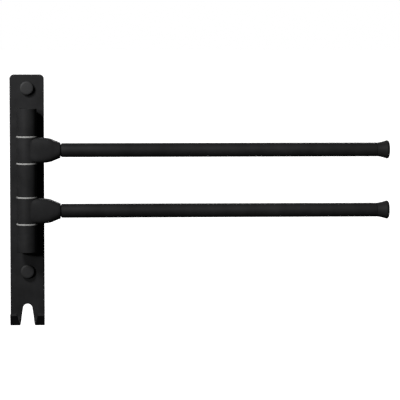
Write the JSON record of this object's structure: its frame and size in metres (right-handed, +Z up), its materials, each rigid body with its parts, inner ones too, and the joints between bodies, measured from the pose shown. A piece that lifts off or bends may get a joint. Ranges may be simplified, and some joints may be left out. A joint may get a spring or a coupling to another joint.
{
  "type": "towel rack",
  "caption": "Wall-mounted swing-arm towel rack: a tall narrow back plate with a hinge barrel, black rods on hubs that swing out sideways, and robe hooks bent up from the plate's foot.",
  "frame": {"origin": "on the wall face of the back plate, on its centreline, midway between the two wall screws", "axes": "+X along the arms at rest, +Y into the wall, -Y towards the room, +Z up"},
  "size_m": [0.3392, 0.0493, 0.224],
  "materials": {
    "black_coated_aluminium": "satin",
    "zinc_plated_steel": "satin",
    "white_nylon": "matte",
    "black_plastic": "satin"
  },
  "bodies": {
    "bracket": {"back_plate": "black_coated_aluminium", "pivot_shaft": "zinc_plated_steel", "shaft_screw_top": "zinc_plated_steel", "shaft_screw_bottom": "zinc_plated_steel", "end_plug_top": "black_plastic", "end_plug_bottom": "black_plastic", "wall_screw_top": "zinc_plated_steel", "wall_screw_bottom": "zinc_plated_steel", "screw_seat_top": "white_nylon", "screw_seat_bottom": "white_nylon", "screw_cap_top": "black_plastic", "screw_cap_bottom": "black_plastic"},
    "upper_arm": {"hub_upper": "black_coated_aluminium", "bush_upper_top": "white_nylon", "bush_upper_bottom": "white_nylon", "rod_upper": "black_coated_aluminium", "rod_stud_upper": "zinc_plated_steel", "end_cap_upper": "black_plastic"},
    "lower_arm": {"hub_lower": "black_coated_aluminium", "bush_lower_top": "white_nylon", "bush_lower_bottom": "white_nylon", "rod_lower": "black_coated_aluminium", "rod_stud_lower": "zinc_plated_steel", "end_cap_lower": "black_plastic"}
  },
  "joints": [
    {"name": "upper_arm_swing", "type": "hinge", "parent": "bracket", "child": "upper_arm", "pos_m": [0, -0.013, 0.027], "axis": [0, 0, -1], "range_deg": [0, 180]},
    {"name": "lower_arm_swing", "type": "hinge", "parent": "bracket", "child": "lower_arm", "pos_m": [0, -0.013, -0.027], "axis": [0, 0, -1], "range_deg": [0, 180]}
  ]
}
